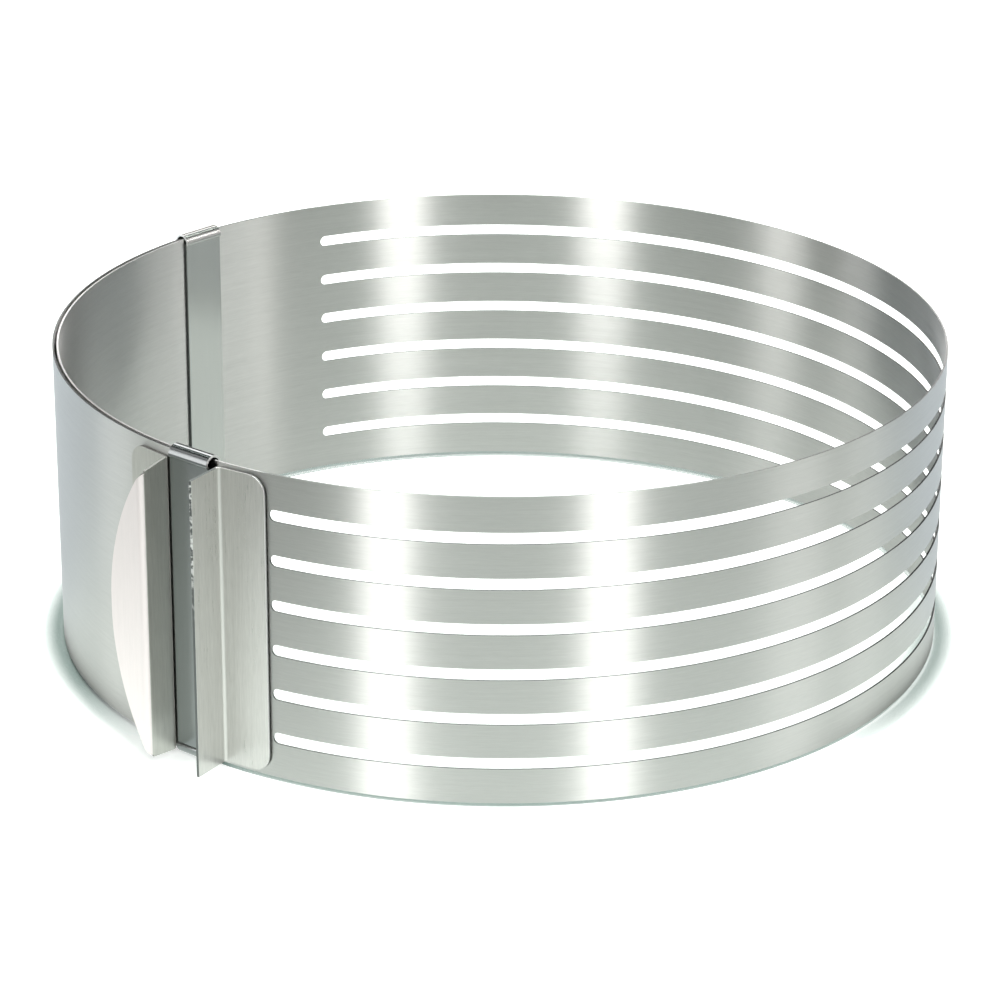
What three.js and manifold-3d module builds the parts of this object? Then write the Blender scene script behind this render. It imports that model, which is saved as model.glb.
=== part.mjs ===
// Adjustable slicing cake ring: a slotted steel strip rolled into a ring, with plain ends that slide
// past each other through two sleeves, and two handles that are squeezed together to close the ring.
// Millimetres, +Z up, handles facing -Y. Angles are degrees from the front, anticlockwise from above.
import * as THREE from "three";
import { mergeVertices } from "three/addons/utils/BufferGeometryUtils.js";
import Module from "manifold-3d";

// The strip
const BAND_HEIGHT = 85;
const BAND_SHEET = 0.5;
const INNER_LAYER_RADIUS = 123;
const LAYER_GAP = 0.7;
const FACET_ANGLE = 3;

// The strip bends elastically, so it is divided by upright flex lines into stiff panels
const FLEX_LINE_GAP = 0.3;
const TAIL_PANEL_COUNT = 4;

// The slots that guide the knife
const SLOT_COUNT = 6;
const SLOT_HEIGHT = 3.2;
const SLOT_PITCH = 12.5;
const SLOT_START_FROM_FLEX = 16.7;
const SLOT_END_FROM_FLEX = 33.5;
const SLOT_END_SEGMENTS = 16;

// The sleeves, closed round both layers
const SLEEVE_WIDTH = 13.4;
const SLEEVE_SHEET = 0.6;
const SLEEVE_SPACING_ANGLE = 93.3;
const SLEEVE_EDGE_CLEARANCE = 0.6;
const SLEEVE_SLIDING_CLEARANCE = 1;
const SLEEVE_CORNER_RADIUS = 1.3;
const SLEEVE_TO_REAR_FLEX = 5.3;

// The handles
const HANDLE_SHEET = 0.8;
const HANDLE_EDGE_INSET = 1;
const HANDLE_BEND_RADIUS = 0.9;
const PLATE_CORNER_RADIUS = 5;
const PULL_TO_SLEEVE = 0.3;
const PULL_DROP = 1.2;
const PULL_PLATE_WIDTH = 15;
const PULL_FLANGE_DEPTH = 10;
const PULL_LIP_WIDTH = 13.8;
const PULL_LIP_END_INSET = 1;
const PULL_LIP_DROP = 0.9;
const STOP_TO_SLEEVE = 1.8;
const STOP_PLATE_WIDTH = 14.8;
const STOP_FLANGE_DEPTH = 12.5;

// Welded faces are kept a hair apart so that the pieces stay separate solids
const WELD_GAP = 0.1;
const CUT_MARGIN = 2;

const wasm = await Module();
wasm.setup();

const steel = new THREE.MeshStandardMaterial({ color: 0xc6c8c9, roughness: 0.32, metalness: 1 });
const handleSteel = new THREE.MeshStandardMaterial({ color: 0xbfc0bf, roughness: 0.38, metalness: 1 });

// Sizes worked out from the ones above
const outerLayerRadius = INNER_LAYER_RADIUS + BAND_SHEET + LAYER_GAP;
const bandBottom = SLEEVE_EDGE_CLEARANCE + SLEEVE_SHEET;
const bandMiddle = bandBottom + BAND_HEIGHT / 2;
const handleHeight = BAND_HEIGHT - 2 * HANDLE_EDGE_INSET;
const pullOffset = SLEEVE_WIDTH / 2 + PULL_TO_SLEEVE;
const stopOffset = SLEEVE_WIDTH / 2 + STOP_TO_SLEEVE;
const arcAngle = (length) => THREE.MathUtils.radToDeg(length / INNER_LAYER_RADIUS);

// Where the strip is divided, going round from the front
const frontFlexAngle = arcAngle(stopOffset + HANDLE_SHEET / 2);
const rearFlexAngle = 360 - SLEEVE_SPACING_ANGLE - arcAngle(SLEEVE_WIDTH / 2 + SLEEVE_TO_REAR_FLEX);
const sideFlexAngle = (frontFlexAngle + rearFlexAngle) / 2;
const slotStartAngle = frontFlexAngle + arcAngle(SLOT_START_FROM_FLEX);
const slotEndAngle = rearFlexAngle - arcAngle(SLOT_END_FROM_FLEX);
const tailAngle = frontFlexAngle + SLEEVE_SPACING_ANGLE + arcAngle(SLEEVE_WIDTH / 2);
const panelAngle = tailAngle / TAIL_PANEL_COUNT;
const halfGapAngle = arcAngle(FLEX_LINE_GAP / 2);

// The slotted part winds from the inner layer's radius out to the outer layer's radius
const windingRadius = (angle) => THREE.MathUtils.mapLinear(
  angle, frontFlexAngle, rearFlexAngle, INNER_LAYER_RADIUS, outerLayerRadius,
);
const innerRadius = () => INNER_LAYER_RADIUS;
const outerRadius = () => outerLayerRadius;

function planPoint(radius, angle) {
  const turn = THREE.MathUtils.degToRad(angle);
  return new THREE.Vector2(radius * Math.sin(turn), -radius * Math.cos(turn));
}

// A length of rolled strip: its plan between two angles, drawn up from one height to another
function rolledStrip(fromAngle, toAngle, radiusAt, bottom, height) {
  const facets = Math.max(1, Math.ceil((toAngle - fromAngle) / FACET_ANGLE));
  const inside = [];
  const outside = [];
  for (let i = 0; i <= facets; i++) {
    const angle = THREE.MathUtils.lerp(fromAngle, toAngle, i / facets);
    inside.push(planPoint(radiusAt(angle) - BAND_SHEET / 2, angle));
    outside.push(planPoint(radiusAt(angle) + BAND_SHEET / 2, angle));
  }
  const plan = new THREE.Shape([...inside, ...outside.reverse()]);
  const strip = new THREE.ExtrudeGeometry(plan, { depth: height, bevelEnabled: false });
  return strip.translate(0, 0, bottom);
}

function toSolid(geometry) {
  const bare = geometry.index ? geometry.toNonIndexed() : geometry.clone();
  bare.deleteAttribute("normal");
  bare.deleteAttribute("uv");
  const merged = mergeVertices(bare);
  return new wasm.Manifold(new wasm.Mesh({
    numProp: 3,
    vertProperties: new Float32Array(merged.attributes.position.array),
    triVerts: new Uint32Array(merged.index.array),
  }));
}

function toGeometry(solid) {
  const { vertProperties, triVerts } = solid.getMesh();
  const geometry = new THREE.BufferGeometry();
  geometry.setAttribute("position", new THREE.BufferAttribute(vertProperties, 3));
  geometry.setIndex(new THREE.BufferAttribute(triVerts, 1));
  geometry.computeVertexNormals();
  return geometry;
}

const ring = new THREE.Group();

function addPiece(name, geometry, material, angle = 0) {
  const piece = new THREE.Mesh(geometry, material);
  piece.name = name;
  piece.rotation.z = THREE.MathUtils.degToRad(angle);
  ring.add(piece);
  return piece;
}

// Slot heights, bottom to top
const slotHeights = [];
for (let i = 0; i < SLOT_COUNT; i++) {
  slotHeights.push(bandMiddle + (i - (SLOT_COUNT - 1) / 2) * SLOT_PITCH);
}

// The plain piece that joins the rails at one end of the slots, with the slots' round ends cut in its edge
function slottedBase(fromAngle, toAngle, slotAngle) {
  let base = toSolid(rolledStrip(fromAngle, toAngle, windingRadius, bandBottom, BAND_HEIGHT));
  for (const height of slotHeights) {
    const drill = new THREE.CylinderGeometry(
      SLOT_HEIGHT / 2, SLOT_HEIGHT / 2, BAND_SHEET + 2 * CUT_MARGIN, SLOT_END_SEGMENTS,
    );
    drill.translate(0, -windingRadius(slotAngle), height);
    drill.rotateZ(THREE.MathUtils.degToRad(slotAngle));
    base = base.subtract(toSolid(drill));
  }
  return toGeometry(base);
}

// The rails left standing between and beside the slots, from one angle to another
function addRails(prefix, fromAngle, toAngle) {
  const bandTop = bandBottom + BAND_HEIGHT;
  const bottoms = [bandBottom, ...slotHeights.map((height) => height + SLOT_HEIGHT / 2)];
  const tops = [...slotHeights.map((height) => height - SLOT_HEIGHT / 2), bandTop];
  bottoms.forEach((bottom, i) => {
    const rail = rolledStrip(fromAngle, toAngle, windingRadius, bottom, tops[i] - bottom);
    addPiece(`${prefix}_rail_${i + 1}`, rail, steel);
  });
}

addPiece("front_band_base", slottedBase(frontFlexAngle + halfGapAngle, slotStartAngle, slotStartAngle), steel);
addRails("front", slotStartAngle + 2 * halfGapAngle, sideFlexAngle - halfGapAngle);
addPiece("rear_band_base", slottedBase(slotEndAngle, rearFlexAngle - halfGapAngle, slotEndAngle), steel);
addRails("rear", sideFlexAngle + halfGapAngle, slotEndAngle - 2 * halfGapAngle);

// The plain ends: the inner one runs back from the front handle, the outer one on from the rear
for (let i = 0; i < TAIL_PANEL_COUNT; i++) {
  const innerStart = frontFlexAngle - (i + 1) * panelAngle + halfGapAngle;
  const innerPanel = rolledStrip(
    innerStart, innerStart + panelAngle - 2 * halfGapAngle, innerRadius, bandBottom, BAND_HEIGHT,
  );
  addPiece(`inner_tail_${i + 1}`, innerPanel, steel);
  const outerStart = rearFlexAngle + i * panelAngle + halfGapAngle;
  const outerPanel = rolledStrip(
    outerStart, outerStart + panelAngle - 2 * halfGapAngle, outerRadius, bandBottom, BAND_HEIGHT,
  );
  addPiece(`outer_tail_${i + 1}`, outerPanel, steel);
}

function roundedRectangle(path, left, bottom, width, height, radius) {
  const right = left + width;
  const top = bottom + height;
  path.moveTo(left + radius, bottom);
  path.lineTo(right - radius, bottom);
  path.absarc(right - radius, bottom + radius, radius, -Math.PI / 2, 0, false);
  path.lineTo(right, top - radius);
  path.absarc(right - radius, top - radius, radius, 0, Math.PI / 2, false);
  path.lineTo(left + radius, top);
  path.absarc(left + radius, top - radius, radius, Math.PI / 2, Math.PI, false);
  path.lineTo(left, bottom + radius);
  path.absarc(left + radius, bottom + radius, radius, Math.PI, Math.PI * 1.5, false);
  path.closePath();
  return path;
}

// A flat section drawn as (outward, up) becomes a bar along X, centred at the front of the ring
const sectionToFront = new THREE.Matrix4().makeBasis(
  new THREE.Vector3(0, -1, 0), new THREE.Vector3(0, 0, 1), new THREE.Vector3(-1, 0, 0),
);

// A sleeve: a flattened loop of sheet whose hollow runs between two radii
function sleeve(hollowInside, hollowOutside) {
  const hollowBottom = bandBottom - SLEEVE_EDGE_CLEARANCE;
  const hollowHeight = BAND_HEIGHT + 2 * SLEEVE_EDGE_CLEARANCE;
  const hollowRadius = SLEEVE_CORNER_RADIUS - SLEEVE_SHEET;
  const section = roundedRectangle(
    new THREE.Shape(), hollowInside - SLEEVE_SHEET, hollowBottom - SLEEVE_SHEET,
    hollowOutside - hollowInside + 2 * SLEEVE_SHEET, hollowHeight + 2 * SLEEVE_SHEET, SLEEVE_CORNER_RADIUS,
  );
  section.holes.push(roundedRectangle(
    new THREE.Path(), hollowInside, hollowBottom, hollowOutside - hollowInside, hollowHeight, hollowRadius,
  ));
  const bar = new THREE.ExtrudeGeometry(section, { depth: SLEEVE_WIDTH, bevelEnabled: false, curveSegments: 4 });
  bar.translate(0, 0, -SLEEVE_WIDTH / 2);
  return bar.applyMatrix4(sectionToFront);
}

// A flat sleeve on a round strip: its ends stand nearer to the strip's inside than its middle does
const sleeveEndDrop = (radius) => radius - Math.sqrt(radius ** 2 - (SLEEVE_WIDTH / 2) ** 2);
const insideFace = INNER_LAYER_RADIUS - BAND_SHEET / 2;
const insideReach = insideFace - sleeveEndDrop(insideFace);
const outsideFace = outerLayerRadius + BAND_SHEET / 2;
addPiece(
  "outer_end_sleeve", sleeve(insideReach - SLEEVE_SLIDING_CLEARANCE, outsideFace + WELD_GAP), steel,
);
addPiece(
  "inner_end_sleeve", sleeve(insideReach - WELD_GAP, outsideFace + SLEEVE_SLIDING_CLEARANCE), steel,
  -SLEEVE_SPACING_ANGLE,
);

// A prism standing out from the front of the ring over an outline drawn as (sideways, up)
function frontPrism(outline, nearDepth, farDepth) {
  const prism = new THREE.ExtrudeGeometry(outline, { depth: farDepth - nearDepth, bevelEnabled: false });
  return prism.rotateX(Math.PI / 2).translate(0, -nearDepth, 0);
}

// An outline with one straight edge past the plate's folded end and two round corners at its free end
function plateOutline(width, foldSide) {
  const halfHeight = handleHeight / 2;
  const free = -foldSide * width / 2;
  const fold = foldSide * (width / 2 + CUT_MARGIN);
  const corner = foldSide * PLATE_CORNER_RADIUS;
  const outline = new THREE.Shape();
  outline.moveTo(fold, -halfHeight);
  outline.lineTo(fold, halfHeight);
  outline.lineTo(free + corner, halfHeight);
  outline.quadraticCurveTo(free, halfHeight, free, halfHeight - PLATE_CORNER_RADIUS);
  outline.lineTo(free, -halfHeight + PLATE_CORNER_RADIUS);
  outline.quadraticCurveTo(free, -halfHeight, free + corner, -halfHeight);
  outline.closePath();
  return outline;
}

// The lip's outline: an arc from the top of the fold out to the lip's full width and back to the bottom
function lipOutline() {
  const halfHeight = handleHeight / 2 - PULL_LIP_END_INSET;
  const radius = (halfHeight ** 2 + PULL_LIP_WIDTH ** 2) / (2 * PULL_LIP_WIDTH);
  const fold = PULL_PLATE_WIDTH / 2;
  const centre = fold - PULL_LIP_WIDTH + radius;
  const sweep = Math.asin(halfHeight / radius);
  const outline = new THREE.Shape();
  outline.moveTo(fold + CUT_MARGIN, halfHeight);
  outline.lineTo(fold, halfHeight);
  outline.absarc(centre, 0, radius, Math.PI - sweep, Math.PI + sweep, false);
  outline.lineTo(fold + CUT_MARGIN, -halfHeight);
  outline.closePath();
  return outline;
}

// The pull handle's bent sheet in plan: plate, flange and lip, folded with the same bend radius
function pullPlan() {
  const half = PULL_PLATE_WIDTH / 2;
  const depth = PULL_FLANGE_DEPTH;
  const sheet = HANDLE_SHEET;
  const inner = HANDLE_BEND_RADIUS;
  const outer = inner + sheet;
  const bend = half - outer;
  const plan = new THREE.Shape();
  plan.moveTo(-half, 0);
  plan.lineTo(-half, -sheet);
  plan.lineTo(bend, -sheet);
  plan.absarc(bend, -outer, inner, Math.PI / 2, 0, true);
  plan.lineTo(half - sheet, -depth + outer);
  plan.absarc(bend, -depth + outer, inner, 0, -Math.PI / 2, true);
  plan.lineTo(half - PULL_LIP_WIDTH, -depth + sheet);
  plan.lineTo(half - PULL_LIP_WIDTH, -depth);
  plan.lineTo(bend, -depth);
  plan.absarc(bend, -depth + outer, outer, -Math.PI / 2, 0, false);
  plan.lineTo(half, -outer);
  plan.absarc(bend, -outer, outer, 0, Math.PI / 2, false);
  plan.closePath();
  return plan;
}

// The stop handle's bent sheet in plan: plate and flange
function stopPlan() {
  const half = STOP_PLATE_WIDTH / 2;
  const sheet = HANDLE_SHEET;
  const inner = HANDLE_BEND_RADIUS;
  const outer = inner + sheet;
  const bend = -half + outer;
  const plan = new THREE.Shape();
  plan.moveTo(half, 0);
  plan.lineTo(bend, 0);
  plan.absarc(bend, -outer, outer, Math.PI / 2, Math.PI, false);
  plan.lineTo(-half, -STOP_FLANGE_DEPTH);
  plan.lineTo(-half + sheet, -STOP_FLANGE_DEPTH);
  plan.lineTo(-half + sheet, -outer);
  plan.absarc(bend, -outer, inner, Math.PI, Math.PI / 2, true);
  plan.lineTo(half, -sheet);
  plan.closePath();
  return plan;
}

// A handle: its bent sheet drawn up to full height, trimmed to outlines, and set against the strip
function handle(plan, outlineSolid, faceRadius, height) {
  const sheet = new THREE.ExtrudeGeometry(plan, { depth: handleHeight, bevelEnabled: false, curveSegments: 4 });
  sheet.translate(0, 0, -handleHeight / 2);
  const trimmed = toSolid(sheet).intersect(outlineSolid);
  return toGeometry(trimmed.translate([0, -faceRadius, height]));
}

const pullPlate = toSolid(frontPrism(plateOutline(PULL_PLATE_WIDTH, 1), -CUT_MARGIN, PULL_FLANGE_DEPTH / 2));
const pullLip = toSolid(
  frontPrism(lipOutline(), PULL_FLANGE_DEPTH / 2 - WELD_GAP, PULL_FLANGE_DEPTH + CUT_MARGIN),
).translate([0, 0, -PULL_LIP_DROP]);
const pullAngle = -arcAngle(pullOffset + PULL_PLATE_WIDTH / 2);
const pullFace = outsideFace + WELD_GAP;
const pullSheet = handle(pullPlan(), pullPlate.add(pullLip), pullFace, bandMiddle - PULL_DROP);
addPiece("pull_handle", pullSheet, handleSteel, pullAngle);

const stopPlate = toSolid(
  frontPrism(plateOutline(STOP_PLATE_WIDTH, -1), -CUT_MARGIN, STOP_FLANGE_DEPTH + CUT_MARGIN),
);
const stopAngle = arcAngle(stopOffset + STOP_PLATE_WIDTH / 2);
const stopFace = windingRadius(slotStartAngle) + BAND_SHEET / 2 + WELD_GAP;
addPiece("stop_handle", handle(stopPlan(), stopPlate, stopFace, bandMiddle), handleSteel, stopAngle);

// The origin is the middle of the overall box, on the plane that the ring stands on
const bounds = new THREE.Box3().setFromObject(ring);
const middle = bounds.getCenter(new THREE.Vector3());
ring.position.set(-middle.x, -middle.y, -bounds.min.z);

export default ring;
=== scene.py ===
"""Adjustable slicing cake ring in brushed steel: a slotted strip, two sleeves and two folded handles.

Metres, +Z up, handles facing -Y. Angles are degrees from the front, anticlockwise from above.
"""
import math

import bpy
import numpy as np
from mathutils import Matrix, Vector


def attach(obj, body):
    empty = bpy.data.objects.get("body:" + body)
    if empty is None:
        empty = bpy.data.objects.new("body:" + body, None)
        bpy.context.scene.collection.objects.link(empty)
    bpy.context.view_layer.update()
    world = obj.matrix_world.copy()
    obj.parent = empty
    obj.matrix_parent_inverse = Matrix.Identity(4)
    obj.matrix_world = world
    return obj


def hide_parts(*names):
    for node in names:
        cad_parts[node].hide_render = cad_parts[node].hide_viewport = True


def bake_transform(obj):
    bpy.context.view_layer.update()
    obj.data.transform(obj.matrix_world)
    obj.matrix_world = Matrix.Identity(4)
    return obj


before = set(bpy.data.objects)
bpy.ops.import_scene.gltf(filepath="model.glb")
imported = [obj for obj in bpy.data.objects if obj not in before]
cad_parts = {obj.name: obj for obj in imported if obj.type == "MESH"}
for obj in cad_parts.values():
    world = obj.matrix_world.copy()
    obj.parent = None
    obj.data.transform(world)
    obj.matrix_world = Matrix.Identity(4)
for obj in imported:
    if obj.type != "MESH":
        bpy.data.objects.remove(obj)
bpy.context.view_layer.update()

MM = 0.001

# The ring's axis
AXIS_X = 1.30339 * MM
AXIS_Y = 5.81748 * MM

# The strip
BAND_BOTTOM = 1.2 * MM
BAND_TOP = 86.2 * MM
BAND_MIDDLE = (BAND_BOTTOM + BAND_TOP) / 2
BAND_SHEET = 0.5 * MM
INNER_LAYER_RADIUS = 123 * MM
OUTER_LAYER_RADIUS = 124.2 * MM
FRONT_FLEX_ANGLE = 4.1458
SIDE_FLEX_ANGLE = 132.628
REAR_FLEX_ANGLE = 261.1102
TAIL_PANEL_ANGLE = 25.1417
TAIL_PANEL_COUNT = 4
FRONT_SEAM_ANGLE = 10.5
REAR_SEAM_ANGLE = 240.5
FRONT_BEND_REACHES = (6.2, 12.5, 12.5, 12.5)
REAR_BEND_REACHES = (20, 5, 12.5, 12.5)
COLUMN_ANGLE = 0.5
SEAM_COLUMN_ANGLE = 0.02
# Painted highlight on the strip's top edge, by angle: full on the inner tail's rim, less along the slotted
# length, none on the outer tail's rim
TOP_EDGE_ANGLES = (10, 11, 247, 248)
TOP_EDGE_PAINTED_HIGHLIGHTS = (1.0, 0.35, 0.35, 0.0)

# The slots
SLOT_COUNT = 6
SLOT_RADIUS = 1.6 * MM
SLOT_PITCH = 12.5 * MM
SLOT_START_ANGLE = 11.925
SLOT_END_ANGLE = 245.505
SLOT_END_COLUMNS = 10

# The sleeves
SLEEVE_HEIGHT = 87.4 * MM
SLEEVE_WIDTH = 13.4 * MM
SLEEVE_SHEET = 0.6 * MM
OUTER_END_SLEEVE_ANGLE = 0
OUTER_END_SLEEVE_HOLLOW = (121.567 * MM, 124.55 * MM)
INNER_END_SLEEVE_ANGLE = -93.3
INNER_END_SLEEVE_HOLLOW = (122.467 * MM, 125.45 * MM)
SLEEVE_ROLL_SWELL = 0.6 * MM
SLEEVE_NECK_LENGTH = 0.5 * MM
SLEEVE_ROLL_POINTS = 12
SLEEVE_NECK_POINTS = 6
SLEEVE_WIDTH_COLUMNS = 9

# The handles
HANDLE_SHEET = 0.8 * MM
HANDLE_HALF_HEIGHT = 41.5 * MM
HANDLE_BEND_RADIUS = 1.3 * MM
HANDLE_COLUMN = 0.25 * MM
HANDLE_ROWS = 13
HANDLE_SHARES_UP = np.linspace(0, 1, HANDLE_ROWS)[:, None]
# Painted glints on the stop flange's torn edge: the share of its height where they start, and how fast they
# ease in
TORN_GLINT_START = 0.5
TORN_GLINT_SLOPE = 4
PLATE_CORNER_RADIUS = 5 * MM
PULL_ANGLE = -6.7544
PULL_MIDDLE = BAND_MIDDLE - 1.2 * MM
PULL_FACE_RADIUS = 124.55 * MM
PULL_PLATE_WIDTH = 15 * MM
PULL_FLANGE_DEPTH = 10 * MM
PULL_LIP_WIDTH = 13.8 * MM
PULL_LIP_HALF_HEIGHT = 40.5 * MM
PULL_LIP_TIP = 0.1 * MM
PULL_LIP_DROP = 0.9 * MM
STOP_ANGLE = 7.4065
STOP_FACE_RADIUS = 123.386 * MM
STOP_PLATE_WIDTH = 14.8 * MM
STOP_FLANGE_DEPTH = 12.5 * MM
EDGE_ROUNDING = 0.12 * MM
EDGE_ROUNDING_STEPS = 2

# All sheets
MERGE_STEP = 0.001 * MM
SHARP_ANGLE = math.radians(40)

# The camera
CAMERA_ANGLE = 39.6
CAMERA_ELEVATION = 22.22
CAMERA_DISTANCE = 1086.4 * MM
CAMERA_LENS = 137.88
CAMERA_AIM_SIDEWAYS = -0.16 * MM
CAMERA_AIM_HEIGHT = 35.05 * MM
CAMERA_ROLL = 0.3
CAMERA_CLIP = (0.05, 50)

# The finishes: streaks are given by their changes in a metre along and across the grain, and their detail
FINE_STREAKS = (200, 2400, 2.0)
BROAD_STREAKS = (22, 800, 3.0)
STREAK_ROUGHNESS = 0.6
GRAIN_TURN = 0.25
GRAIN_BUMP_STRENGTH = 0.08
GRAIN_BUMP_DEPTH = 0.02 * MM
MARK_SCALE = 28.0
MARK_DETAIL = 4.0
MARK_STRENGTH = 0.05
# Painted glints on torn edges: the noise's scale and detail and the span over which they fade in; then the
# tone of every painted edge highlight
GLINT_SCALE = 700.0
GLINT_DETAIL = 2.0
GLINT_SPAN = (0.42, 0.6)
PAINTED_HIGHLIGHT_TONE = (0.9, 0.9, 0.9, 1)
CUT_ROUGHNESS = 0.5
# Tones of cut edges: their own duller finish, and darker still as painted shade along the edges and in the
# gaps between sheets
DULL_SHADED_EDGE = (0.16, 0.17, 0.17, 1)
GREY_SHADED_EDGE = (0.34, 0.34, 0.33, 1)

# The floor: seen values are for the camera and the others for the steel that mirrors it. A side is given
# by its degrees round the axis to the camera's right, its half width, the softness of its ends and its
# strength
FLOOR_HALF_SIZE = 6.0
FLOOR_ROUGHNESS = 0.9
FLOOR_TONE = (0.35, 0.35, 0.35, 1)
FLOOR_SHADE = (0.12, 0.12, 0.12, 1)
FLOOR_SEEN_TONE = (0.92, 0.95, 0.95, 1)
FLOOR_SEEN_SHADE = (0.28, 0.36, 0.345, 1)
SEEN_GLOW = (0.6, 1.0)
SEEN_INSIDE_GLOW = (0.25, 0.6)
SEEN_GLOW_REACH = (300 * MM, 1500 * MM)
CONTACT_REACH = 9 * MM
CONTACT_SAMPLES = 8
CONTACT_OPEN = (0.67, 1.0)
SHADOWLESS_OUTSIDE = (0, 25, 45, 1.0)
SHADOWLESS_INSIDE = (180, 60, 60, 1.0)
FRONT_TINT = (0.95, 1.03, 0.965, 1)
BACK_TINT = (0.92, 1.03, 1.14, 1)
POOL_MIDDLE_GLOW = 0.2
POOL_INNER_GLOW = 0.65
POOL_OUTER_GLOW = (0.5, 1.05)
POOL_FAR_GLOW = (0.6, 0.4)
POOL_RADIUS = 330 * MM
FRONT_SIDE = (0, 75, 45, 1.0)
DARK_SIDE = (-57, 8, 25, 1.0)
WHITE = (1, 1, 1, 1)

# The lights: a panel is given as a side is above
STUDIO_PANELS = [
    (-28.5, 3, 5, 6.2),
    (27, 3, 5, 6.2),
    (-82, 3, 6, 3.0),
    (78, 4, 8, 1.2),
    (-109, 3, 7, 1.3),
    (102, 3, 7, 0.9),
    (168, 3, 5, 3.5),
    (-168, 3, 5, 3.5),
]
PANEL_TINT = (1.03, 1.0, 0.985)
PANEL_TOP = (0.6, 0.85)
SURROUND_TONE = (0.03, 0.03, 0.03)
OVERHEAD_TONE = (0.03, 0.03, 0.03, 1)
SOFTBOX_LENGTH = 1.2
SOFTBOX_WIDTH = 0.26
SOFTBOX_HEIGHT = 1.2
SOFTBOX_OFFSETS = (-0.45, 0.0, 0.45)
SOFTBOX_POWER = 6.3
SOFTBOX_TINT = (0.96, 1.03, 0.96)

# Narrow upright lamps: degrees to the camera's right of each lamp, and of the spot inside the wall it is
# aimed at
SIDE_LAMPS = [(75, 216.4), (104, 230.6)]
SIDE_LAMP_DISTANCE = 600 * MM
SIDE_LAMP_HEIGHT = 350 * MM
SIDE_LAMP_WIDTH = 25 * MM
SIDE_LAMP_LENGTH = 500 * MM
SIDE_LAMP_SPREAD = 30
SIDE_LAMP_POWER = 0.018
SIDE_LAMP_TINT = (1.03, 0.98, 0.96)


def ring_point(radius, angle, height):
    """Points round the axis: out by the radius at an angle from the front, and up by the height."""
    turn = np.radians(angle)
    x = AXIS_X + radius * np.sin(turn)
    y = AXIS_Y - radius * np.cos(turn)
    return np.stack(np.broadcast_arrays(x, y, height), axis=-1)


def strip_radius(angle):
    """Middle radius of the strip: it winds evenly from the inner layer out to the outer layer."""
    return np.interp(angle, [FRONT_FLEX_ANGLE, REAR_FLEX_ANGLE], [INNER_LAYER_RADIUS, OUTER_LAYER_RADIUS])


def sheet_piece(name, middle, normal, grain, sheet, painted_edge_light):
    """A closed sheet from grids of middle points, with rows up and columns sideways on the outer face.

    Each point goes half the sheet's thickness along its normal for the outer face and against it for
    the inner face. Points that meet are merged, and each open edge gets a rim between the two faces.
    Painted edge light, highlights and glints, is given by name as a pair of values or grids, for the outer
    and for the inner face.
    """
    index = np.arange(middle[..., 0].size).reshape(middle.shape[:-1])
    corners = [index[..., :-1, :-1], index[..., :-1, 1:], index[..., 1:, 1:], index[..., 1:, :-1]]
    grid_quads = np.stack(corners, axis=-1).reshape(-1, 4)
    points = middle.reshape(-1, 3)
    steps = np.round(points / MERGE_STEP).astype(np.int64)
    _, first, place = np.unique(steps, axis=0, return_index=True, return_inverse=True)
    offset = normal.reshape(-1, 3)[first] * sheet / 2
    vertices = np.concatenate([points[first] + offset, points[first] - offset])
    count = len(first)
    quads = place.reshape(-1)[grid_quads]

    ahead = np.roll(quads, -1, axis=1)
    is_open = ~np.isin(quads * count + ahead, ahead * count + quads)
    start = quads[is_open]
    end = ahead[is_open]
    rims = np.stack([end, start, start + count, end + count], axis=-1)
    faces = np.concatenate([quads, quads[:, ::-1] + count, rims])

    grain_points = grain.reshape(-1, 2)
    grain_start = grain_points[grid_quads[is_open]]
    grain_end = grain_points[np.roll(grid_quads, -1, axis=1)[is_open]]
    rim_grain = np.stack([grain_end, grain_start, grain_start + sheet, grain_end + sheet], axis=1)
    face_grain = grain_points[grid_quads]
    corner_grain = np.concatenate([face_grain, face_grain[:, ::-1], rim_grain])

    mesh = bpy.data.meshes.new(name)
    mesh.from_pydata(vertices.tolist(), [], faces.tolist())
    grain_map = mesh.uv_layers.new(name="grain")
    grain_map.uv.foreach_set("vector", corner_grain.astype(np.float32).ravel())
    is_rim = np.repeat([0.0, 1.0], [2 * len(quads), len(rims)])
    cut_edge = mesh.attributes.new("cut_edge", "FLOAT", "FACE")
    cut_edge.data.foreach_set("value", is_rim.astype(np.float32))
    # Painted edge highlights and glints, kept as point attributes
    for painted_attribute, sides in painted_edge_light.items():
        grids = [np.broadcast_to(side, middle.shape[:-1]).reshape(-1)[first] for side in sides]
        attribute = mesh.attributes.new(painted_attribute, "FLOAT", "POINT")
        attribute.data.foreach_set("value", np.concatenate(grids).astype(np.float32))
    mesh.shade_smooth()
    mesh.set_sharp_from_angle(angle=SHARP_ANGLE)
    piece = bpy.data.objects.new(name, mesh)
    bpy.context.collection.objects.link(piece)
    return piece


def strip_columns(from_angle, to_angle):
    """Column angles: even steps, the slots' round ends, and one thin column beside each end.

    The thin columns let neighbouring pieces shade alike where they meet.
    """
    count = math.ceil((to_angle - from_angle) / COLUMN_ANGLE)
    end_turns = np.linspace(0, math.pi / 2, SLOT_END_COLUMNS)
    end_reach = np.degrees(SLOT_RADIUS * np.cos(end_turns) / INNER_LAYER_RADIUS)
    angles = np.concatenate([
        np.linspace(from_angle, to_angle, count + 1),
        [from_angle + SEAM_COLUMN_ANGLE, to_angle - SEAM_COLUMN_ANGLE],
        SLOT_START_ANGLE - end_reach,
        SLOT_END_ANGLE + end_reach,
    ])
    return np.unique(angles[(angles >= from_angle) & (angles <= to_angle)])


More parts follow.
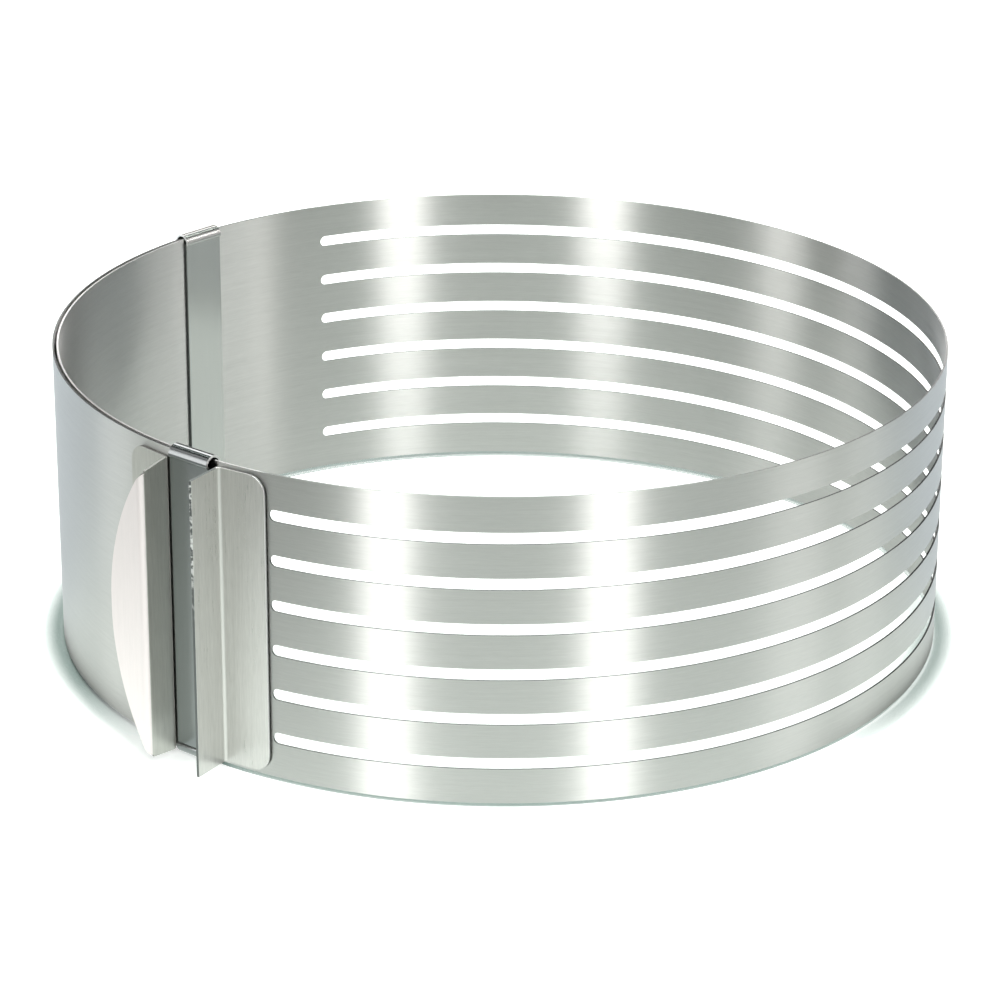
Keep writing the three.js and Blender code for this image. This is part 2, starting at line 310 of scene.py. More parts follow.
def strip_piece(name, from_angle, to_angle):
    """A length of the strip: one grid for each rail, from its bottom edge to its top edge at each angle.

    A slot is open by its radius along its length, at its round ends by the height of a circle's arc, and
    not at all past them, where the rails meet. Only the edge along the strip's top gets a painted
    highlight.
    """
    angles = strip_columns(min(from_angle, to_angle), max(from_angle, to_angle))
    past_end = np.maximum(SLOT_START_ANGLE - angles, angles - SLOT_END_ANGLE)
    past_end_length = np.radians(np.maximum(past_end, 0)) * INNER_LAYER_RADIUS
    half_open = np.sqrt(np.maximum(SLOT_RADIUS ** 2 - past_end_length ** 2, 0))
    slot_heights = BAND_MIDDLE + (np.arange(SLOT_COUNT)[:, None] - (SLOT_COUNT - 1) / 2) * SLOT_PITCH
    whole = np.ones((1, len(angles)))
    bottoms = np.concatenate([BAND_BOTTOM * whole, slot_heights + half_open])
    tops = np.concatenate([slot_heights - half_open, BAND_TOP * whole])
    height = np.stack([bottoms, tops], axis=1)
    middle = ring_point(strip_radius(angles), angles, height)
    normal = np.broadcast_to(ring_point(1, angles, 0) - [AXIS_X, AXIS_Y, 0], middle.shape)
    along = np.broadcast_to(np.radians(angles) * INNER_LAYER_RADIUS, height.shape)
    # Painted highlight on the rim of the strip's top edge
    painted_shine = np.where(height == BAND_TOP, np.interp(angles, TOP_EDGE_ANGLES, TOP_EDGE_PAINTED_HIGHLIGHTS), 0)
    marks_and_painted_light = {"painted_edge_highlight": (painted_shine, painted_shine)}
    return sheet_piece(name, middle, normal, np.stack([along, height], axis=-1), BAND_SHEET, marks_and_painted_light)


def placed(angle, sideways, outward, height):
    """Points drawn at the front as sideways, outward from the axis and up, turned round to an angle."""
    turn = math.radians(angle)
    x = outward * math.sin(turn) + sideways * math.cos(turn)
    y = sideways * math.sin(turn) - outward * math.cos(turn)
    return np.stack(np.broadcast_arrays(x, y, height), axis=-1)


def sleeve(name, angle, hollow):
    """A flattened loop of sheet: two flat walls joined by a swollen roll at the top and at the bottom.

    A roll is a half circle a little wider than the walls, and eases into them over a short neck. Its cut
    edges get a painted highlight.
    """
    wall = (hollow[1] - hollow[0] + SLEEVE_SHEET) / 2
    roll = wall + SLEEVE_ROLL_SWELL
    turns = np.linspace(0, math.pi / 2, SLEEVE_ROLL_POINTS)
    eases = np.linspace(0, 1, SLEEVE_NECK_POINTS)[1:]
    drop = np.concatenate([roll * (1 - np.cos(turns)), roll + SLEEVE_NECK_LENGTH * eases])
    neck = wall + SLEEVE_ROLL_SWELL * (1 + np.cos(math.pi * eases)) / 2
    half = np.concatenate([roll * np.sin(turns), neck])
    top = SLEEVE_HEIGHT - SLEEVE_SHEET / 2
    bottom = SLEEVE_SHEET / 2
    # Painted highlight on the rolls' cut edges, fading out along the necks
    painted_shine = np.concatenate([np.ones(SLEEVE_ROLL_POINTS), 1 - eases])
    painted_shine = np.concatenate([painted_shine, painted_shine[::-1], painted_shine[1:], painted_shine[::-1]])[:, None]
    out = np.concatenate([half, half[::-1], -half[1:], -half[::-1]])
    up = np.concatenate([bottom + drop, top - drop[::-1], top - drop[1:], bottom + drop[::-1]])
    loop = np.stack([out, up], axis=-1)
    step = np.roll(loop[:-1], -1, axis=0) - np.roll(loop[:-1], 1, axis=0)
    step = np.concatenate([step, step[:1]])
    step /= np.linalg.norm(step, axis=1, keepdims=True)
    length = np.concatenate([[0], np.cumsum(np.linalg.norm(np.diff(loop, axis=0), axis=1))])

    sideways = np.linspace(-SLEEVE_WIDTH / 2, SLEEVE_WIDTH / 2, SLEEVE_WIDTH_COLUMNS)
    centre = (hollow[0] + hollow[1]) / 2
    middle = placed(angle, sideways, centre + loop[:, :1], loop[:, 1:]) + [AXIS_X, AXIS_Y, 0]
    normal = placed(angle, 0 * sideways, step[:, 1:], -step[:, :1])
    grain = np.stack(np.broadcast_arrays(length[:, None], sideways), axis=-1)
    return sheet_piece(name, middle, normal, grain, SLEEVE_SHEET, {"painted_edge_highlight": (painted_shine, painted_shine)})


def bent_path(start, heading, runs):
    """A sheet's middle line in plan: straight runs and round bends, from the sum of small steps.

    The heading at a length is the first heading plus each bend's turn, in the share that is passed.
    """
    lengths = np.array([length for length, _ in runs])
    ends = np.cumsum(lengths)
    count = math.ceil(ends[-1] / HANDLE_COLUMN)
    along = np.unique(np.concatenate([np.linspace(0, ends[-1], count + 1), ends]))
    turned = sum(
        turn * np.clip((along - end + length) / length, 0, 1)
        for (length, turn), end in zip(runs, ends)
    )
    direction = np.stack([np.cos(heading + turned), np.sin(heading + turned)], axis=-1)
    steps = (direction[1:] + direction[:-1]) / 2 * np.diff(along)[:, None]
    points = np.array(start) + np.concatenate([np.zeros((1, 2)), np.cumsum(steps, axis=0)])
    normal = np.stack([-direction[:, 1], direction[:, 0]], axis=-1)
    return along, points, normal


def corner_trim(distance):
    """Height lost at a plate's round corner, by the distance from the plate's free edge."""
    inside = np.clip(PLATE_CORNER_RADIUS - distance, 0, PLATE_CORNER_RADIUS)
    return PLATE_CORNER_RADIUS - np.sqrt(PLATE_CORNER_RADIUS ** 2 - inside ** 2)


def handle_piece(name, angle, path, centre, half_height, painted_edge_light):
    """A bent sheet: its middle line in plan, drawn up and down by the half height at each point."""
    along, points, plan_normal = path
    height = centre + half_height * (2 * HANDLE_SHARES_UP - 1)
    middle = placed(angle, points[:, 0], points[:, 1], height) + [AXIS_X, AXIS_Y, 0]
    normal = np.broadcast_to(placed(angle, plan_normal[:, 0], plan_normal[:, 1], 0), middle.shape)
    grain = np.stack(np.broadcast_arrays(height, along), axis=-1)
    piece = sheet_piece(name, middle, normal, grain, HANDLE_SHEET, painted_edge_light)
    round_edges(piece)
    return piece


def round_edges(piece):
    """A small live bevel on every sharp edge of a sheet."""
    bevel = piece.modifiers.new("edge_rounding", "BEVEL")
    bevel.width = EDGE_ROUNDING
    bevel.segments = EDGE_ROUNDING_STEPS
    bevel.limit_method = "ANGLE"
    bevel.angle_limit = SHARP_ANGLE
    bevel.harden_normals = True


def pull_handle():
    """Plate, flange and lip, folded twice; the lip's outline is a circle's arc over the flange's height.

    The flange eases from the plate's height and middle to the lip's, which is shorter and hangs lower.
    """
    bend_reach = HANDLE_BEND_RADIUS + HANDLE_SHEET / 2
    quarter = HANDLE_BEND_RADIUS * math.pi / 2
    plate = PULL_PLATE_WIDTH - bend_reach
    flange = PULL_FLANGE_DEPTH - 2 * bend_reach
    lip = PULL_LIP_WIDTH - bend_reach - PULL_LIP_TIP
    runs = [(plate, 0), (quarter, math.pi / 2), (flange, 0), (quarter, math.pi / 2), (lip, 0)]
    start = (-PULL_PLATE_WIDTH / 2, PULL_FACE_RADIUS + HANDLE_SHEET / 2)
    path = bent_path(start, 0, runs)
    along, points, _ = path
    fold_start = plate + quarter
    half_height = np.interp(
        along, [fold_start, fold_start + flange], [HANDLE_HALF_HEIGHT, PULL_LIP_HALF_HEIGHT],
    )
    arc_radius = (PULL_LIP_HALF_HEIGHT ** 2 + PULL_LIP_WIDTH ** 2) / (2 * PULL_LIP_WIDTH)
    across = PULL_PLATE_WIDTH / 2 - points[:, 0] + arc_radius - PULL_LIP_WIDTH
    lip_height = np.sqrt(np.maximum(arc_radius ** 2 - across ** 2, 0))
    is_lip = along > fold_start + flange
    half_height = np.where(is_lip, np.minimum(lip_height, half_height), half_height)
    half_height = half_height - corner_trim(along)
    centre = PULL_MIDDLE - np.interp(along, [fold_start, fold_start + flange], [0, PULL_LIP_DROP])
    return handle_piece("pull_handle_sheet", PULL_ANGLE, path, centre, half_height, {})


def stop_handle():
    """Plate and flange, folded once.

    The flange's free edge is torn, shown by painted glints that ease in from half way up, and the plate's
    edge has a painted highlight on its outer side.
    """
    bend_reach = HANDLE_BEND_RADIUS + HANDLE_SHEET / 2
    quarter = HANDLE_BEND_RADIUS * math.pi / 2
    flange = STOP_FLANGE_DEPTH - bend_reach
    plate = STOP_PLATE_WIDTH - bend_reach
    runs = [(flange, 0), (quarter, math.pi / 2), (plate, 0)]
    outer_edge = STOP_FACE_RADIUS + STOP_FLANGE_DEPTH
    start = (-STOP_PLATE_WIDTH / 2 + HANDLE_SHEET / 2, outer_edge)
    path = bent_path(start, -math.pi / 2, runs)
    along = path[0]
    half_height = HANDLE_HALF_HEIGHT - corner_trim(along[-1] - along)
    # Painted glints on the torn free edge, and a painted highlight on the plate's outer edge
    torn_glint_share = np.clip(TORN_GLINT_SLOPE * (HANDLE_SHARES_UP - TORN_GLINT_START), 0, 1)
    torn_glint = np.where(along < HANDLE_COLUMN / 2, torn_glint_share, 0)
    painted_shine = np.where(along > flange, 1, 0)
    marks_and_painted_light = {"torn_edge_glint": (torn_glint, torn_glint), "painted_edge_highlight": (painted_shine, 0)}
    return handle_piece("stop_handle_sheet", STOP_ANGLE, path, BAND_MIDDLE, half_height, marks_and_painted_light)


def add_node(tree, kind, settings=None, inputs=None):
    """A node with its settings and its unlinked input values; a linked input is given as a socket."""
    node = tree.nodes.new(kind)
    for name, value in (settings or {}).items():
        setattr(node, name, value)
    for name, value in (inputs or {}).items():
        if isinstance(value, bpy.types.NodeSocket):
            tree.links.new(value, node.inputs[name])
        else:
            node.inputs[name].default_value = value
    return node


def math_node(tree, operation, first, second):
    """One arithmetic step between two values."""
    return add_node(tree, "ShaderNodeMath", {"operation": operation}, {0: first, 1: second}).outputs[0]


def vector_node(tree, operation, *vectors):
    """The outputs of one step on vectors."""
    settings = {"operation": operation}
    return add_node(tree, "ShaderNodeVectorMath", settings, dict(enumerate(vectors))).outputs


def value_between(tree, share, start, end):
    """A value from one to another, by its share."""
    mix = add_node(tree, "ShaderNodeMix", {"data_type": "FLOAT"}, {0: share, 2: start, 3: end})
    return mix.outputs[0]


def colour_between(tree, share, start, end):
    """A colour from one to another, by its share."""
    mix = add_node(tree, "ShaderNodeMix", {"data_type": "RGBA"}, {0: share, 6: start, 7: end})
    return mix.outputs[2]


def carried(tree, value, span, result, interpolation="LINEAR"):
    """A value carried from one span to another, and held at the ends."""
    return add_node(
        tree, "ShaderNodeMapRange", {"interpolation_type": interpolation},
        {
            "Value": value, "From Min": span[0], "From Max": span[1],
            "To Min": result[0], "To Max": result[1],
        },
    ).outputs[0]


def new_group(name, inputs, outputs):
    """A shader node group with named sockets, and its two end nodes."""
    group = bpy.data.node_groups.new(name, "ShaderNodeTree")
    for socket, kind in inputs:
        group.interface.new_socket(socket, in_out="INPUT", socket_type=kind)
    for socket, kind in outputs:
        group.interface.new_socket(socket, in_out="OUTPUT", socket_type=kind)
    return group, group.nodes.new("NodeGroupInput").outputs, group.nodes.new("NodeGroupOutput").inputs


def streaks(tree, place, along, across, detail):
    """Noise drawn out along the grain: so many changes in a metre along it, and so many across it."""
    stretch = add_node(tree, "ShaderNodeMapping", None, {"Vector": place, "Scale": (along, across, 1)})
    noise = add_node(
        tree, "ShaderNodeTexNoise", None,
        {"Vector": stretch.outputs[0], "Scale": 1.0, "Detail": detail, "Roughness": STREAK_ROUGHNESS},
    )
    return noise.outputs[0]


def brushed_grain_group():
    """Brushing: fine and broad streaks along the grain, as a tone, a roughness and a height."""
    group, given, result = new_group(
        "brushed_grain",
        [
            ("Grain Place", "NodeSocketVector"),
            ("Tone", "NodeSocketColor"),
            ("Tone Spread", "NodeSocketFloat"),
            ("Roughness", "NodeSocketFloat"),
            ("Roughness Spread", "NodeSocketFloat"),
        ],
        [("Tone", "NodeSocketColor"), ("Roughness", "NodeSocketFloat"), ("Height", "NodeSocketFloat")],
    )
    fine = streaks(group, given["Grain Place"], *FINE_STREAKS)
    broad = streaks(group, given["Grain Place"], *BROAD_STREAKS)
    both = math_node(group, "ADD", fine, broad)
    signed = math_node(group, "SUBTRACT", both, 1.0)
    shade = math_node(group, "MULTIPLY", signed, given["Tone Spread"])
    factor = math_node(group, "ADD", shade, 1.0)
    toned = add_node(
        group, "ShaderNodeVectorMath", {"operation": "SCALE"}, {0: given["Tone"], "Scale": factor},
    )
    rough_change = math_node(group, "MULTIPLY", signed, given["Roughness Spread"])
    group.links.new(toned.outputs[0], result["Tone"])
    group.links.new(math_node(group, "ADD", rough_change, given["Roughness"]), result["Roughness"])
    group.links.new(fine, result["Height"])
    return group


def sheared_edge_group():
    """Cut edges: duller than the faces and darker as painted shade, with painted glints where torn or a
    painted highlight all along.
    """
    group, given, result = new_group(
        "sheared_edge",
        [
            ("Edge", "NodeSocketFloat"),
            ("Torn Glint", "NodeSocketFloat"),
            ("Bright", "NodeSocketFloat"),
            ("Place", "NodeSocketVector"),
            ("Face Tone", "NodeSocketColor"),
            ("Face Roughness", "NodeSocketFloat"),
            ("Edge Tone", "NodeSocketColor"),
            ("Painted Highlight Tone", "NodeSocketColor"),
        ],
        [("Tone", "NodeSocketColor"), ("Roughness", "NodeSocketFloat")],
    )
    glint_noise = add_node(
        group, "ShaderNodeTexNoise", None,
        {"Vector": given["Place"], "Scale": GLINT_SCALE, "Detail": GLINT_DETAIL},
    )
    torn_glints = carried(group, glint_noise.outputs[0], GLINT_SPAN, (0.0, given["Torn Glint"]), "SMOOTHSTEP")
    painted_shine = math_node(group, "MAXIMUM", torn_glints, given["Bright"])
    cut_tone = colour_between(group, painted_shine, given["Edge Tone"], given["Painted Highlight Tone"])
    tone = colour_between(group, given["Edge"], given["Face Tone"], cut_tone)
    rough = value_between(group, given["Edge"], given["Face Roughness"], CUT_ROUGHNESS)
    group.links.new(tone, result["Tone"])
    group.links.new(rough, result["Roughness"])
    return group


def handling_marks_group():
    """Faint cloudy marks from handling, as a small change of roughness."""
    group, given, result = new_group(
        "handling_marks",
        [("Place", "NodeSocketVector"), ("Roughness", "NodeSocketFloat"), ("Strength", "NodeSocketFloat")],
        [("Roughness", "NodeSocketFloat")],
    )
    cloud = add_node(
        group, "ShaderNodeTexNoise", None,
        {"Vector": given["Place"], "Scale": MARK_SCALE, "Detail": MARK_DETAIL},
    )
    signed = math_node(group, "SUBTRACT", cloud.outputs[0], 0.5)
    change = math_node(group, "MULTIPLY", signed, given["Strength"])
    group.links.new(math_node(group, "ADD", change, given["Roughness"]), result["Roughness"])
    return group


def brushed_steel(name, tone, tone_spread, roughness, roughness_spread, anisotropy, edge_tone):
    """Brushed stainless steel: highlights spread across the grain that the piece's own map gives."""
    material = bpy.data.materials.new(name)
    material.use_nodes = True
    tree = material.node_tree
    shader = tree.nodes["Principled BSDF"]
    shader.inputs["Metallic"].default_value = 1.0
    shader.inputs["Anisotropic"].default_value = anisotropy
    shader.inputs["Anisotropic Rotation"].default_value = GRAIN_TURN
    place = add_node(tree, "ShaderNodeTexCoord").outputs["Object"]
    grain_place = add_node(tree, "ShaderNodeUVMap", {"uv_map": "grain"}).outputs[0]
    edge = add_node(tree, "ShaderNodeAttribute", {"attribute_name": "cut_edge"}).outputs["Fac"]
    torn_glint = add_node(tree, "ShaderNodeAttribute", {"attribute_name": "torn_edge_glint"}).outputs["Fac"]
    painted_highlight = add_node(tree, "ShaderNodeAttribute", {"attribute_name": "painted_edge_highlight"}).outputs["Fac"]
    tangent = add_node(tree, "ShaderNodeTangent", {"direction_type": "UV_MAP", "uv_map": "grain"})
    grain = add_node(
        tree, "ShaderNodeGroup", {"node_tree": groups["grain"]},
        {
            "Grain Place": grain_place, "Tone": tone, "Tone Spread": tone_spread,
            "Roughness": roughness, "Roughness Spread": roughness_spread,
        },
    )
    marks_and_painted_light = add_node(
        tree, "ShaderNodeGroup", {"node_tree": groups["marks_and_painted_light"]},
        {"Place": place, "Roughness": grain.outputs["Roughness"], "Strength": MARK_STRENGTH},
    )
    cut = add_node(
        tree, "ShaderNodeGroup", {"node_tree": groups["edge"]},
        {
            "Edge": edge, "Torn Glint": torn_glint, "Bright": painted_highlight, "Place": place,
            "Face Tone": grain.outputs["Tone"], "Face Roughness": marks_and_painted_light.outputs["Roughness"],
            "Edge Tone": edge_tone, "Painted Highlight Tone": PAINTED_HIGHLIGHT_TONE,
        },
    )
    bump = add_node(
        tree, "ShaderNodeBump", None,
        {
            "Strength": GRAIN_BUMP_STRENGTH, "Distance": GRAIN_BUMP_DEPTH,
            "Height": grain.outputs["Height"],
        },
    )
    tree.links.new(cut.outputs["Tone"], shader.inputs["Base Color"])
    tree.links.new(cut.outputs["Roughness"], shader.inputs["Roughness"])
    tree.links.new(bump.outputs[0], shader.inputs["Normal"])
    tree.links.new(tangent.outputs[0], shader.inputs["Tangent"])
    return material


def dress(piece, material, nodes):
    """Gives a piece its finish and hides the parts that it stands for."""
    piece.data.materials.append(material)
    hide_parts(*nodes)


def paint_lip_lighter(piece, material):
    """Gives the pull handle's lip its own finish, rougher and far lighter as painted light: the faces that
    stand out beyond the flange's fold.
    """
    piece.data.materials.append(material)
    centres = np.empty(3 * len(piece.data.polygons), np.float32)
    piece.data.polygons.foreach_get("center", centres)
    outward = (centres.reshape(-1, 3) - [AXIS_X, AXIS_Y, 0]) @ placed(PULL_ANGLE, 0, 1, 0)
    is_lip = outward > PULL_FACE_RADIUS + PULL_FLANGE_DEPTH - HANDLE_BEND_RADIUS
    piece.data.polygons.foreach_set("material_index", is_lip.astype(np.int32))


def strip_spot(angle):
    """A point on the strip's middle line, half way up."""
    return tuple(float(v) for v in ring_point(strip_radius(angle), angle, BAND_MIDDLE))


def add_slotted_band(material):
    """Most of the slotted length, as one piece."""
    piece = strip_piece("slotted_band", FRONT_SEAM_ANGLE, REAR_SEAM_ANGLE)
    nodes = ["front_band_base", "rear_band_base"]
    nodes += [f"{side}_rail_{i + 1}" for side in ("front", "rear") for i in range(SLOT_COUNT + 1)]
    dress(piece, material, nodes)
    hinge = Vector(strip_spot(SIDE_FLEX_ANGLE))
    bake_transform(piece)


def add_tail(side, material, seam_angle, flex_angle, bend_reaches, direction):
    """An end of the strip, from the seam to the free end, in pieces cut where the bends over its flex lines
    begin.
    """
    flexes = flex_angle + direction * TAIL_PANEL_ANGLE * np.arange(TAIL_PANEL_COUNT)
    free_end = flex_angle + direction * TAIL_PANEL_ANGLE * TAIL_PANEL_COUNT
    bend_starts = flexes - direction * np.array(bend_reaches)
    bend_ends = flexes + direction * np.array(bend_reaches)
    cuts = [seam_angle, *bend_starts[1:], free_end]
    for i in range(TAIL_PANEL_COUNT):
        piece = strip_piece(f"{side}_tail_sheet_{i + 1}", cuts[i], cuts[i + 1])
        dress(piece, material, [f"{side}_tail_{i + 1}"])
        bend_start = strip_spot(bend_starts[i])
        strip_spot(bend_ends[i])
        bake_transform(piece)


def facing_share(tree, direction, side):
    """A side's strength in a direction: full within its half width, and easing to nothing beyond."""
    azimuth, half_width, softness, strength = side
    turn = math.radians(CAMERA_ANGLE + azimuth)
    facing = (math.sin(turn), -math.cos(turn), 0)
    flat = vector_node(tree, "MULTIPLY", direction, (1, 1, 0))[0]
    level = vector_node(tree, "NORMALIZE", flat)[0]
    close = vector_node(tree, "DOT_PRODUCT", level, facing)["Value"]
    span = (math.cos(math.radians(half_width + softness)), math.cos(math.radians(half_width)))
    return carried(tree, close, span, (0.0, strength), "SMOOTHSTEP")


def mirrored_pool(tree, offset, from_axis, is_outside, front):
    """The glow that the steel sees on the floor: strongest beside the strip in front, and weaker inside.

    It changes evenly with the distance from the strip's circle, down to nothing on the dark side.
    """
    lit_side = math_node(tree, "SUBTRACT", 1.0, facing_share(tree, offset, DARK_SIDE))
    outer_glow = value_between(tree, front, *POOL_OUTER_GLOW)
    far_glow = math_node(tree, "MULTIPLY", value_between(tree, front, *POOL_FAR_GLOW), lit_side)
    inside = carried(tree, from_axis, (0.0, INNER_LAYER_RADIUS), (POOL_MIDDLE_GLOW, POOL_INNER_GLOW))
    outside = carried(tree, from_axis, (INNER_LAYER_RADIUS, POOL_RADIUS), (outer_glow, far_glow))
    return value_between(tree, is_outside, inside, outside)


def unshaded_share(tree, bare_side):
    """The floor's share without shade: all of it on a bare side, and less near a wall elsewhere."""
    contact = add_node(
        tree, "ShaderNodeAmbientOcclusion", {"samples": CONTACT_SAMPLES}, {"Distance": CONTACT_REACH},
    )
    open_share = carried(tree, contact.outputs["AO"], CONTACT_OPEN, (0.0, 1.0))
    return math_node(tree, "MAXIMUM", open_share, bare_side)


def floor_material():
    """White to the camera where no shadow falls, shaded beside a wall, and a pool of light to the steel."""
    material = bpy.data.materials.new("studio_floor_white")
    material.use_nodes = True
    tree = material.node_tree
    shader = tree.nodes["Principled BSDF"]
    shader.inputs["Roughness"].default_value = FLOOR_ROUGHNESS
    shader.inputs["Specular IOR Level"].default_value = 0.0
    place = add_node(tree, "ShaderNodeTexCoord").outputs["Object"]
    offset = vector_node(tree, "SUBTRACT", place, (AXIS_X, AXIS_Y, 0))[0]
    from_axis = vector_node(tree, "LENGTH", offset)["Value"]
    is_outside = math_node(tree, "GREATER_THAN", from_axis, INNER_LAYER_RADIUS)
    front = facing_share(tree, offset, FRONT_SIDE)
    path = add_node(tree, "ShaderNodeLightPath").outputs

    bare_inside = facing_share(tree, offset, SHADOWLESS_INSIDE)
    bare_outside = facing_share(tree, offset, SHADOWLESS_OUTSIDE)
    unshaded = unshaded_share(tree, value_between(tree, is_outside, bare_inside, bare_outside))
    seen_tone = colour_between(tree, unshaded, FLOOR_SEEN_SHADE, FLOOR_SEEN_TONE)
    mirrored_tone = colour_between(tree, unshaded, FLOOR_SHADE, FLOOR_TONE)
    tone = colour_between(tree, path["Is Camera Ray"], mirrored_tone, seen_tone)
    tree.links.new(tone, shader.inputs["Base Color"])

    inside_seen_glow = value_between(tree, bare_inside, *SEEN_INSIDE_GLOW)
    outside_seen_glow = carried(tree, from_axis, SEEN_GLOW_REACH, SEEN_GLOW)
    seen_glow = value_between(tree, is_outside, inside_seen_glow, outside_seen_glow)
    pool = mirrored_pool(tree, offset, from_axis, is_outside, front)
    seen = math_node(tree, "MULTIPLY", path["Is Camera Ray"], seen_glow)
    mirrored = math_node(tree, "MULTIPLY", path["Is Glossy Ray"], pool)
    strength = math_node(tree, "MULTIPLY", math_node(tree, "ADD", seen, mirrored), unshaded)
    outside_tint = colour_between(tree, front, BACK_TINT, FRONT_TINT)
    pool_tint = colour_between(tree, is_outside, FRONT_TINT, outside_tint)
    tint = colour_between(tree, path["Is Camera Ray"], pool_tint, WHITE)
    glow = add_node(tree, "ShaderNodeEmission", None, {"Color": tint, "Strength": strength})
    both = add_node(tree, "ShaderNodeAddShader", None, {0: shader.outputs[0], 1: glow.outputs[0]})
    tree.links.new(both.outputs[0], tree.nodes["Material Output"].inputs["Surface"])
    return material


def studio_floor():
    """A wide floor under the ring, for the picture alone."""
    corners = np.array([[-1, -1, 0], [1, -1, 0], [1, 1, 0], [-1, 1, 0]]) * FLOOR_HALF_SIZE
    mesh = bpy.data.meshes.new("studio_floor")
    mesh.from_pydata(corners.tolist(), [], [[0, 1, 2, 3]])
    mesh.materials.append(floor_material())
    floor = bpy.data.objects.new("studio_floor", mesh)
    bpy.context.collection.objects.link(floor)


def studio_world():
    """White behind the object; round it, upright soft panels in a dark room that the steel mirrors."""
    world = bpy.data.worlds.new("studio")
    bpy.context.scene.world = world
    world.use_nodes = True
    tree = world.node_tree
    tree.nodes.clear()
    direction = add_node(tree, "ShaderNodeTexCoord").outputs["Generated"]
    height = add_node(tree, "ShaderNodeSeparateXYZ", None, {0: direction}).outputs["Z"]
    shone = 0.0
    for panel in STUDIO_PANELS:
        shone = math_node(tree, "ADD", facing_share(tree, direction, panel), shone)
    light = vector_node(tree, "MULTIPLY_ADD", shone, PANEL_TINT, SURROUND_TONE)[0]
    overhead = carried(tree, height, PANEL_TOP, (0.0, 1.0), "SMOOTHSTEP")
    studio = colour_between(tree, overhead, light, OVERHEAD_TONE)
    lit = add_node(tree, "ShaderNodeBackground", None, {"Color": studio, "Strength": 1.0})
    white = add_node(tree, "ShaderNodeBackground", None, {"Color": WHITE, "Strength": 1.0})
    path = add_node(tree, "ShaderNodeLightPath").outputs
    shown = add_node(
        tree, "ShaderNodeMixShader", None,
        {0: path["Is Camera Ray"], 1: lit.outputs[0], 2: white.outputs[0]},
    )
    output = add_node(tree, "ShaderNodeOutputWorld", None, {"Surface": shown.outputs[0]})
    output.is_active_output = True


def overhead_softboxes():
    """A row of long soft lights over the ring, facing down, each lying across the camera's view."""
    turn = math.radians(CAMERA_ANGLE)
    for i, offset in enumerate(SOFTBOX_OFFSETS):
        light = bpy.data.lights.new(f"overhead_softbox_{i + 1}", "AREA")
        light.shape = "RECTANGLE"
        light.size = SOFTBOX_LENGTH
        light.size_y = SOFTBOX_WIDTH
        light.energy = SOFTBOX_POWER
        light.color = SOFTBOX_TINT
        lamp = bpy.data.objects.new(light.name, light)
        lamp.location = (
            AXIS_X + offset * math.sin(turn), AXIS_Y - offset * math.cos(turn), SOFTBOX_HEIGHT,
        )
        lamp.rotation_euler = (0, 0, turn)
        bpy.context.collection.objects.link(lamp)


def studio_point(azimuth, distance, height):
    """A point in the room, so many degrees to the camera's right as seen from the ring's axis."""
    return Vector(ring_point(distance, CAMERA_ANGLE + azimuth, height))


def side_lamps():
    """Narrow upright lamps at the side, each shining over the wall on to the far wall's inside."""
    for i, (azimuth, aim_azimuth) in enumerate(SIDE_LAMPS):
        light = bpy.data.lights.new(f"side_lamp_{i + 1}", "AREA")
        light.shape = "RECTANGLE"
        light.size = SIDE_LAMP_WIDTH
        light.size_y = SIDE_LAMP_LENGTH
        light.spread = math.radians(SIDE_LAMP_SPREAD)
        light.energy = SIDE_LAMP_POWER
        light.color = SIDE_LAMP_TINT
        lamp = bpy.data.objects.new(light.name, light)
        lamp.location = studio_point(azimuth, SIDE_LAMP_DISTANCE, SIDE_LAMP_HEIGHT)
        aim = studio_point(aim_azimuth, INNER_LAYER_RADIUS, BAND_MIDDLE)
        lamp.rotation_euler = (aim - lamp.location).to_track_quat("-Z", "Y").to_euler()
        bpy.context.collection.objects.link(lamp)


def photo_camera():
    """The camera, aimed at the ring from the front right and turned a little about its own axis."""
    data = bpy.data.cameras.new("photo_camera")
    data.lens = CAMERA_LENS
    data.clip_start, data.clip_end = CAMERA_CLIP
    camera = bpy.data.objects.new("photo_camera", data)
    bpy.context.collection.objects.link(camera)
    turn = math.radians(CAMERA_ANGLE)
    rise = math.radians(CAMERA_ELEVATION)
    outward = Vector((math.sin(turn), -math.cos(turn), 0))
    sideways = Vector((math.cos(turn), math.sin(turn), 0))
    aim = Vector((AXIS_X, AXIS_Y, CAMERA_AIM_HEIGHT)) + sideways * CAMERA_AIM_SIDEWAYS
    back = outward * math.cos(rise) + Vector((0, 0, math.sin(rise)))
    facing = (-back).to_track_quat("-Z", "Y").to_matrix().to_4x4()
    roll = Matrix.Rotation(math.radians(CAMERA_ROLL), 4, "Z")
    camera.matrix_world = Matrix.Translation(aim + back * CAMERA_DISTANCE) @ facing @ roll
    bpy.context.scene.camera = camera


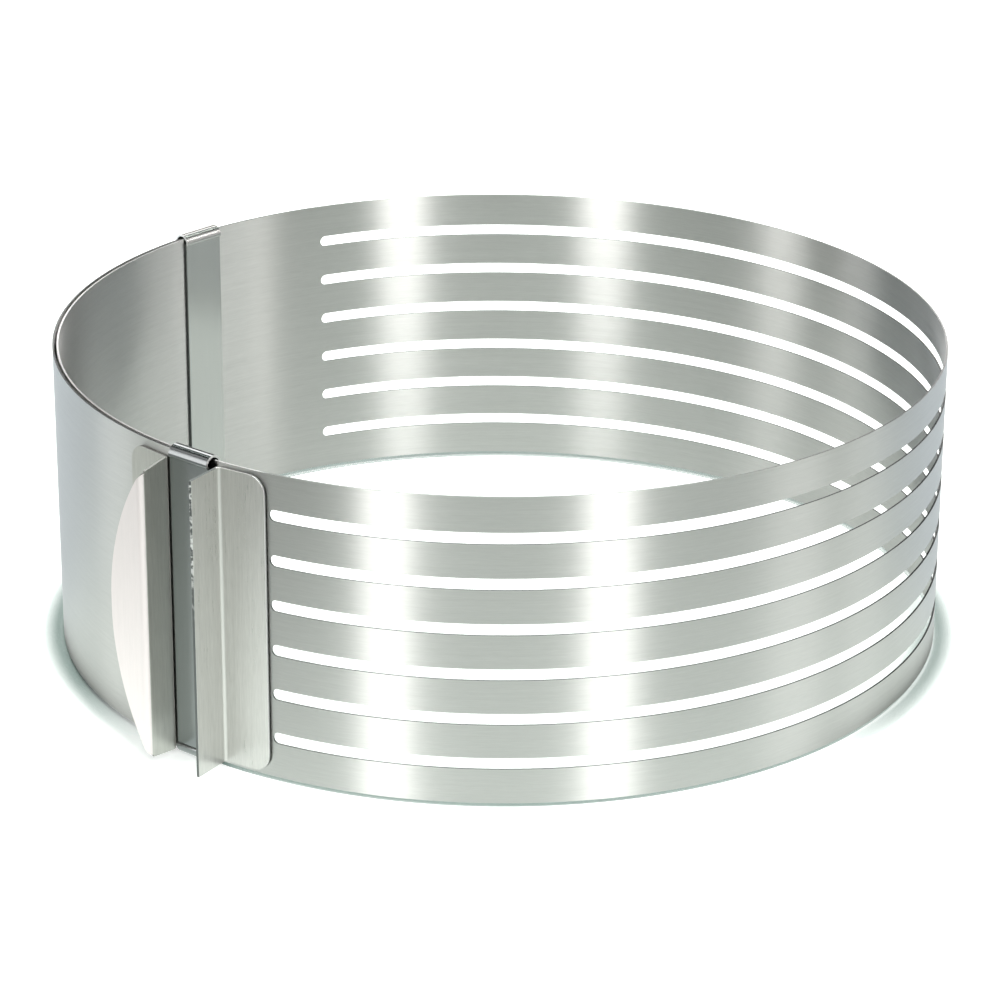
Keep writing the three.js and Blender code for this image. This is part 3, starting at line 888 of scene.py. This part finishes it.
groups = {
    "grain": brushed_grain_group(),
    "edge": sheared_edge_group(),
    "marks_and_painted_light": handling_marks_group(),
}
band_steel = brushed_steel(
    "band_steel_brushed", tone=(0.615, 0.622, 0.61, 1), tone_spread=0.16,
    roughness=0.35, roughness_spread=0.08, anisotropy=1.0, edge_tone=DULL_SHADED_EDGE,
)
# The outer end's sleeve: a darker copy of the sleeve steel, painted shade for its recess between the two
# handles' flanges
outer_end_sleeve_steel_shaded = brushed_steel(
    "outer_end_sleeve_steel_painted_shade", tone=(0.28, 0.30, 0.305, 1), tone_spread=0.08,
    roughness=0.17, roughness_spread=0.04, anisotropy=0.7, edge_tone=DULL_SHADED_EDGE,
)
inner_end_sleeve_steel = brushed_steel(
    "inner_end_sleeve_steel_brushed", tone=(0.50, 0.51, 0.50, 1), tone_spread=0.08,
    roughness=0.22, roughness_spread=0.04, anisotropy=0.7, edge_tone=DULL_SHADED_EDGE,
)
# The pull handle's lip: a satin copy of the handle steel, far lighter than the flange of the same sheet as
# painted light
satin_steel_painted_light = brushed_steel(
    "handle_steel_satin_painted_light", tone=(0.90, 0.845, 0.85, 1), tone_spread=0.08,
    roughness=0.52, roughness_spread=0.08, anisotropy=0.2, edge_tone=GREY_SHADED_EDGE,
)
pull_steel = brushed_steel(
    "pull_handle_steel_brushed", tone=(0.60, 0.60, 0.57, 1), tone_spread=0.25,
    roughness=0.36, roughness_spread=0.12, anisotropy=0.8, edge_tone=GREY_SHADED_EDGE,
)
stop_steel = brushed_steel(
    "stop_handle_steel_brushed", tone=(0.62, 0.615, 0.60, 1), tone_spread=0.28,
    roughness=0.30, roughness_spread=0.12, anisotropy=0.8, edge_tone=DULL_SHADED_EDGE,
)

add_slotted_band(band_steel)
add_tail(
    "inner", band_steel, FRONT_SEAM_ANGLE, FRONT_FLEX_ANGLE, FRONT_BEND_REACHES, -1,
)
add_tail(
    "outer", band_steel, REAR_SEAM_ANGLE, REAR_FLEX_ANGLE, REAR_BEND_REACHES, 1,
)

outer_end_sleeve = sleeve("outer_end_sleeve_loop", OUTER_END_SLEEVE_ANGLE, OUTER_END_SLEEVE_HOLLOW)
dress(outer_end_sleeve, outer_end_sleeve_steel_shaded, ["outer_end_sleeve"])
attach(outer_end_sleeve, "outer_end")
inner_end_sleeve = sleeve("inner_end_sleeve_loop", INNER_END_SLEEVE_ANGLE, INNER_END_SLEEVE_HOLLOW)
dress(inner_end_sleeve, inner_end_sleeve_steel, ["inner_end_sleeve"])
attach(inner_end_sleeve, "inner_end")
pull = pull_handle()
dress(pull, pull_steel, ["pull_handle"])
paint_lip_lighter(pull, satin_steel_painted_light)
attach(pull, "outer_end")
stop = stop_handle()
dress(stop, stop_steel, ["stop_handle"])
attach(stop, "front_band")

studio_floor()
studio_world()
overhead_softboxes()
side_lamps()
photo_camera()
bpy.context.scene.view_settings.view_transform = "Standard"
